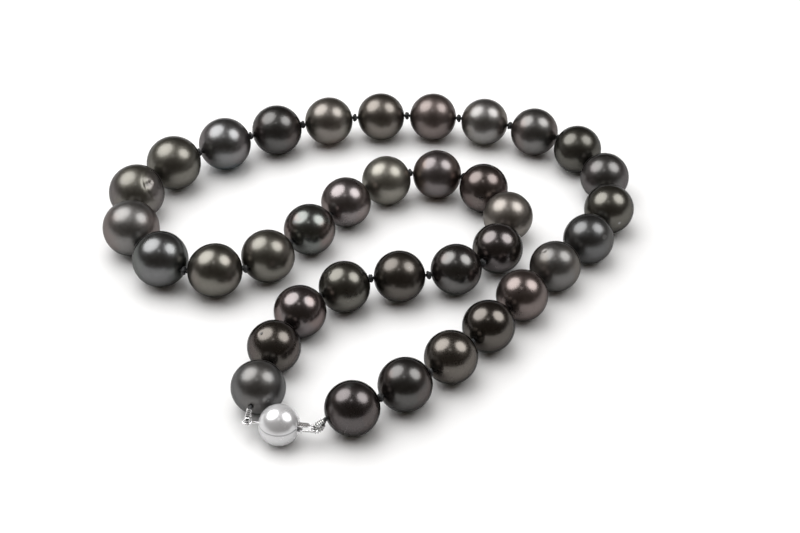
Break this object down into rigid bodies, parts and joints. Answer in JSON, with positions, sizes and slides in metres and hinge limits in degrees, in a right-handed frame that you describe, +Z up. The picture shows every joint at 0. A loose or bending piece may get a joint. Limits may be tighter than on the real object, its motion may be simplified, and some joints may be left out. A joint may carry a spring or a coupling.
{
  "type": "pearl necklace",
  "caption": "Single-strand necklace of graduated dark pearls on knotted silk, lying clasped in a looped S-curve, with a hollow ball clasp and sprung tongue.",
  "frame": {"origin": "middle of the bounding box in the plan, on the surface that the necklace lies on", "axes": "+Z up from the surface, +Y away from the clasp towards the far side of the loop, +X to the right with the clasp nearest the viewer"},
  "size_m": [0.114, 0.1102, 0.0123],
  "materials": {
    "pearl_aubergine": "lustrous dark nacre",
    "pearl_bronze": "lustrous dark nacre",
    "pearl_green": "lustrous dark nacre",
    "pearl_slate": "lustrous dark nacre",
    "pearl_silver": "lustrous dark nacre",
    "silk": "twisted black silk",
    "french_wire": "bright coiled wire",
    "polished_metal": "polished white metal"
  },
  "bodies": {
    "strand_01": {"thread_01": "silk", "gimp_tongue_side": "french_wire"},
    "strand_02": {"thread_02": "silk"},
    "strand_03": {"thread_03": "silk"},
    "strand_04": {"thread_04": "silk"},
    "strand_05": {"thread_05": "silk"},
    "strand_06": {"thread_06": "silk"},
    "strand_07": {"thread_07": "silk"},
    "strand_08": {"thread_08": "silk"},
    "strand_09": {"thread_09": "silk"},
    "strand_10": {"thread_10": "silk"},
    "strand_11": {"thread_11": "silk"},
    "strand_12": {"thread_12": "silk", "gimp_ball_side": "french_wire"},
    "clasp_ball": {"clasp_ball_cup": "polished_metal", "clasp_ball_cap": "polished_metal", "clasp_mouth_plate": "polished_metal", "clasp_guide_channel": "polished_metal", "clasp_end_ring": "polished_metal", "clasp_post_washer": "polished_metal"},
    "clasp_tongue": {"tongue_base_leaf": "polished_metal", "tongue_bail": "polished_metal"},
    "clasp_spring": {"tongue_spring_leaf": "polished_metal", "tongue_press_tab": "polished_metal"},
    "bead_01": {"pearl_01": "pearl_aubergine"},
    "bead_02": {"pearl_02": "pearl_aubergine"},
    "bead_03": {"pearl_03": "pearl_bronze"},
    "bead_04": {"pearl_04": "pearl_green"},
    "bead_05": {"pearl_05": "pearl_silver"},
    "bead_06": {"pearl_06": "pearl_bronze"},
    "bead_07": {"pearl_07": "pearl_slate"},
    "bead_08": {"pearl_08": "pearl_bronze"},
    "bead_09": {"pearl_09": "pearl_silver"},
    "bead_10": {"pearl_10": "pearl_green"},
    "bead_11": {"pearl_11": "pearl_silver"},
    "bead_12": {"pearl_12": "pearl_silver"},
    "bead_13": {"pearl_13": "pearl_aubergine"},
    "bead_14": {"pearl_14": "pearl_green"},
    "bead_15": {"pearl_15": "pearl_green"},
    "bead_16": {"pearl_16": "pearl_slate"},
    "bead_17": {"pearl_17": "pearl_slate"},
    "bead_18": {"pearl_18": "pearl_bronze"},
    "bead_19": {"pearl_19": "pearl_silver"},
    "bead_20": {"pearl_20": "pearl_slate"},
    "bead_21": {"pearl_21": "pearl_green"},
    "bead_22": {"pearl_22": "pearl_bronze"},
    "bead_23": {"pearl_23": "pearl_bronze"},
    "bead_24": {"pearl_24": "pearl_aubergine"},
    "bead_25": {"pearl_25": "pearl_slate"},
    "bead_26": {"pearl_26": "pearl_silver"},
    "bead_27": {"pearl_27": "pearl_slate"},
    "bead_28": {"pearl_28": "pearl_aubergine"},
    "bead_29": {"pearl_29": "pearl_silver"},
    "bead_30": {"pearl_30": "pearl_aubergine"},
    "bead_31": {"pearl_31": "pearl_green"},
    "bead_32": {"pearl_32": "pearl_bronze"},
    "bead_33": {"pearl_33": "pearl_green"},
    "bead_34": {"pearl_34": "pearl_aubergine"},
    "bead_35": {"pearl_35": "pearl_bronze"},
    "bead_36": {"pearl_36": "pearl_slate"}
  },
  "joints": [
    {"name": "clasp_open_tongue_side", "type": "hinge", "parent": "strand_05", "child": "strand_04", "pos_m": [0.02003, 0.0491, 0.00541], "axis": [0, 0, 1], "range_deg": [0, 16]},
    {"name": "clasp_open_ball_side", "type": "hinge", "parent": "strand_05", "child": "strand_06", "pos_m": [-0.01586, 0.04629, 0.00561], "axis": [0, 0, -1], "range_deg": [0, 12]},
    {"name": "clasp_press_tab", "type": "hinge", "parent": "clasp_tongue", "child": "clasp_spring", "pos_m": [-0.01763, -0.05095, 0.00407], "axis": [0.1392, 0.9903, 0], "range_deg": [0, 3.5], "stiffness_Nm_per_rad": 0.002},
    {"name": "clasp_tongue_swing", "type": "hinge", "parent": "strand_01", "child": "clasp_tongue", "pos_m": [-0.00973, -0.05206, 0.0038], "axis": [0, 0, 1], "range_deg": [-10.97, 0]},
    {"name": "clasp_ball_swing", "type": "hinge", "parent": "strand_12", "child": "clasp_ball", "pos_m": [-0.02241, -0.05028, 0.004], "axis": [0, 0, -1], "range_deg": [-1.46, 0]},
    {"name": "strand_flex_09", "type": "hinge", "parent": "strand_04", "child": "strand_03", "pos_m": [0.05023, 0.03191, 0.0054], "axis": [0, 0, 1], "range_deg": [-0.93, 0]},
    {"name": "strand_flex_06", "type": "hinge", "parent": "strand_03", "child": "strand_02", "pos_m": [0.04241, -0.00065, 0.0054], "axis": [0, 0, 1], "range_deg": [-3.1, 0]},
    {"name": "strand_flex_03", "type": "hinge", "parent": "strand_02", "child": "strand_01", "pos_m": [0.02059, -0.02928, 0.0054], "axis": [0, 0, 1], "range_deg": [-3, 0]},
    {"name": "strand_flex_18", "type": "hinge", "parent": "strand_06", "child": "strand_07", "pos_m": [-0.04897, 0.02603, 0.00613], "axis": [0, 0, -1], "range_deg": [0, 2.58]},
    {"name": "strand_flex_21", "type": "hinge", "parent": "strand_07", "child": "strand_08", "pos_m": [-0.03823, -0.00765, 0.00587], "axis": [0, 0, -1], "range_deg": [-2.52, 0]},
    {"name": "strand_flex_24", "type": "hinge", "parent": "strand_08", "child": "strand_09", "pos_m": [-0.00886, 0.01172, 0.00552], "axis": [0, 0, -1], "range_deg": [-7.95, 0]},
    {"name": "strand_flex_27", "type": "hinge", "parent": "strand_09", "child": "strand_10", "pos_m": [0.02058, 0.02627, 0.00541], "axis": [0, 0, -1], "range_deg": [0, 6.14]},
    {"name": "strand_flex_30", "type": "hinge", "parent": "strand_10", "child": "strand_11", "pos_m": [0.02371, -0.00438, 0.0054], "axis": [0, 0, -1], "range_deg": [0, 0.54]},
    {"name": "strand_flex_33", "type": "hinge", "parent": "strand_11", "child": "strand_12", "pos_m": [-0.01011, -0.0149, 0.0054], "axis": [0, 0, -1], "range_deg": [-9.84, 0]},
    {"name": "turn_pearl_01", "type": "hinge", "parent": "strand_01", "child": "bead_01", "pos_m": [-0.00257, -0.04807, 0.0054], "axis": [0.874, 0.4859, 0], "continuous": true},
    {"name": "turn_pearl_02", "type": "hinge", "parent": "strand_01", "child": "bead_02", "pos_m": [0.00745, -0.04151, 0.0054], "axis": [0.7946, 0.6072, 0], "continuous": true},
    {"name": "turn_pearl_03", "type": "hinge", "parent": "strand_01", "child": "bead_03", "pos_m": [0.0164, -0.03358, 0.0054], "axis": [0.6983, 0.7158, 0], "continuous": true},
    {"name": "turn_pearl_04", "type": "hinge", "parent": "strand_02", "child": "bead_04", "pos_m": [0.02412, -0.02443, 0.0054], "axis": [0.5874, 0.8093, 0], "continuous": true},
    {"name": "turn_pearl_05", "type": "hinge", "parent": "strand_02", "child": "bead_05", "pos_m": [0.03128, -0.0148, 0.0054], "axis": [0.606, 0.7954, 0], "continuous": true},
    {"name": "turn_pearl_06", "type": "hinge", "parent": "strand_02", "child": "bead_06", "pos_m": [0.03866, -0.00534, 0.0054], "axis": [0.6243, 0.7811, 0], "continuous": true},
    {"name": "turn_pearl_07", "type": "hinge", "parent": "strand_03", "child": "bead_07", "pos_m": [0.04626, 0.00395, 0.0054], "axis": [0.6423, 0.7664, 0], "continuous": true},
    {"name": "turn_pearl_08", "type": "hinge", "parent": "strand_03", "child": "bead_08", "pos_m": [0.05151, 0.01438, 0.0054], "axis": [0.2335, 0.9723, 0], "continuous": true},
    {"name": "turn_pearl_09", "type": "hinge", "parent": "strand_03", "child": "bead_09", "pos_m": [0.05157, 0.02606, 0.0054], "axis": [-0.2242, 0.9745, 0], "continuous": true},
    {"name": "turn_pearl_10", "type": "hinge", "parent": "strand_04", "child": "bead_10", "pos_m": [0.04642, 0.03654, 0.0054], "axis": [-0.6351, 0.7724, 0], "continuous": true},
    {"name": "turn_pearl_11", "type": "hinge", "parent": "strand_04", "child": "bead_11", "pos_m": [0.03713, 0.04363, 0.0054], "axis": [-0.9129, 0.4081, 0], "continuous": true},
    {"name": "turn_pearl_12", "type": "hinge", "parent": "strand_04", "child": "bead_12", "pos_m": [0.02584, 0.04759, 0.0054], "axis": [-0.9678, 0.2519, 0], "continuous": true},
    {"name": "turn_pearl_13", "type": "hinge", "parent": "strand_05", "child": "bead_13", "pos_m": [0.01405, 0.04963, 0.00541], "axis": [-0.9961, 0.0887, 0], "continuous": true},
    {"name": "turn_pearl_14", "type": "hinge", "parent": "strand_05", "child": "bead_14", "pos_m": [0.00204, 0.0497, 0.00544], "axis": [-0.997, -0.077, 0], "continuous": true},
    {"name": "turn_pearl_15", "type": "hinge", "parent": "strand_05", "child": "bead_15", "pos_m": [-0.00992, 0.04776, 0.00552], "axis": [-0.9706, -0.2406, 0], "continuous": true},
    {"name": "turn_pearl_16", "type": "hinge", "parent": "strand_06", "child": "bead_16", "pos_m": [-0.02167, 0.04387, 0.0057], "axis": [-0.9232, -0.3842, 0], "continuous": true},
    {"name": "turn_pearl_17", "type": "hinge", "parent": "strand_06", "child": "bead_17", "pos_m": [-0.03308, 0.03806, 0.00594], "axis": [-0.8547, -0.5191, 0], "continuous": true},
    {"name": "turn_pearl_18", "type": "hinge", "parent": "strand_06", "child": "bead_18", "pos_m": [-0.04382, 0.03035, 0.00612], "axis": [-0.7666, -0.6421, 0], "continuous": true},
    {"name": "turn_pearl_19", "type": "hinge", "parent": "strand_07", "child": "bead_19", "pos_m": [-0.05083, 0.01955, 0.00614], "axis": [-0.2756, -0.9613, 0], "continuous": true},
    {"name": "turn_pearl_20", "type": "hinge", "parent": "strand_07", "child": "bead_20", "pos_m": [-0.05062, 0.00673, 0.00607], "axis": [0.31, -0.9507, 0], "continuous": true},
    {"name": "turn_pearl_21", "type": "hinge", "parent": "strand_07", "child": "bead_21", "pos_m": [-0.04339, -0.00363, 0.00594], "axis": [0.789, -0.6144, 0], "continuous": true},
    {"name": "turn_pearl_22", "type": "hinge", "parent": "strand_08", "child": "bead_22", "pos_m": [-0.03185, -0.00719, 0.0058], "axis": [0.9975, 0.0713, 0], "continuous": true},
    {"name": "turn_pearl_23", "type": "hinge", "parent": "strand_08", "child": "bead_23", "pos_m": [-0.02112, -0.00223, 0.00566], "axis": [0.6941, 0.7198, 0], "continuous": true},
    {"name": "turn_pearl_24", "type": "hinge", "parent": "strand_08", "child": "bead_24", "pos_m": [-0.01282, 0.007, 0.00556], "axis": [0.6423, 0.7664, 0], "continuous": true},
    {"name": "turn_pearl_25", "type": "hinge", "parent": "strand_09", "child": "bead_25", "pos_m": [-0.00529, 0.01665, 0.00548], "axis": [0.5874, 0.8093, 0], "continuous": true},
    {"name": "turn_pearl_26", "type": "hinge", "parent": "strand_09", "child": "bead_26", "pos_m": [0.00346, 0.02469, 0.00544], "axis": [0.8566, 0.5159, 0], "continuous": true},
    {"name": "turn_pearl_27", "type": "hinge", "parent": "strand_09", "child": "bead_27", "pos_m": [0.01461, 0.02704, 0.00542], "axis": [0.9919, -0.1273, 0], "continuous": true},
    {"name": "turn_pearl_28", "type": "hinge", "parent": "strand_10", "child": "bead_28", "pos_m": [0.02477, 0.02197, 0.00541], "axis": [0.6981, -0.716, 0], "continuous": true},
    {"name": "turn_pearl_29", "type": "hinge", "parent": "strand_10", "child": "bead_29", "pos_m": [0.02957, 0.0117, 0.0054], "axis": [0.1017, -0.9948, 0], "continuous": true},
    {"name": "turn_pearl_30", "type": "hinge", "parent": "strand_10", "child": "bead_30", "pos_m": [0.02695, 0.00067, 0.0054], "axis": [-0.5391, -0.8422, 0], "continuous": true},
    {"name": "turn_pearl_31", "type": "hinge", "parent": "strand_11", "child": "bead_31", "pos_m": [0.01804, -0.00633, 0.0054], "axis": [-0.9459, -0.3244, 0], "continuous": true},
    {"name": "turn_pearl_32", "type": "hinge", "parent": "strand_11", "child": "bead_32", "pos_m": [0.00638, -0.00868, 0.0054], "axis": [-0.9977, -0.0683, 0], "continuous": true},
    {"name": "turn_pearl_33", "type": "hinge", "parent": "strand_11", "child": "bead_33", "pos_m": [-0.00486, -0.012, 0.0054], "axis": [-0.8751, -0.4839, 0], "continuous": true},
    {"name": "turn_pearl_34", "type": "hinge", "parent": "strand_12", "child": "bead_34", "pos_m": [-0.01364, -0.01975, 0.0054], "axis": [-0.5882, -0.8087, 0], "continuous": true},
    {"name": "turn_pearl_35", "type": "hinge", "parent": "strand_12", "child": "bead_35", "pos_m": [-0.01831, -0.0305, 0.0054], "axis": [-0.1906, -0.9817, 0], "continuous": true},
    {"name": "turn_pearl_36", "type": "hinge", "parent": "strand_12", "child": "bead_36", "pos_m": [-0.02071, -0.04225, 0.0054], "axis": [-0.2077, -0.9782, 0], "continuous": true}
  ],
  "couplings": [
    {"joint": "clasp_tongue_swing", "follows": "clasp_open_tongue_side", "ratio": -0.6544},
    {"joint": "clasp_ball_swing", "follows": "clasp_open_ball_side", "ratio": -0.0796},
    {"joint": "strand_flex_09", "follows": "clasp_open_tongue_side", "ratio": -0.0271},
    {"joint": "strand_flex_06", "follows": "clasp_open_tongue_side", "ratio": -0.1624},
    {"joint": "strand_flex_03", "follows": "clasp_open_tongue_side", "ratio": -0.1561},
    {"joint": "strand_flex_18", "follows": "clasp_open_ball_side", "ratio": 0.1736},
    {"joint": "strand_flex_21", "follows": "clasp_open_ball_side", "ratio": -0.1684},
    {"joint": "strand_flex_24", "follows": "clasp_open_ball_side", "ratio": -0.6205},
    {"joint": "strand_flex_27", "follows": "clasp_open_ball_side", "ratio": 0.4704},
    {"joint": "strand_flex_30", "follows": "clasp_open_ball_side", "ratio": 0.003},
    {"joint": "strand_flex_33", "follows": "clasp_open_ball_side", "ratio": -0.7785}
  ]
}
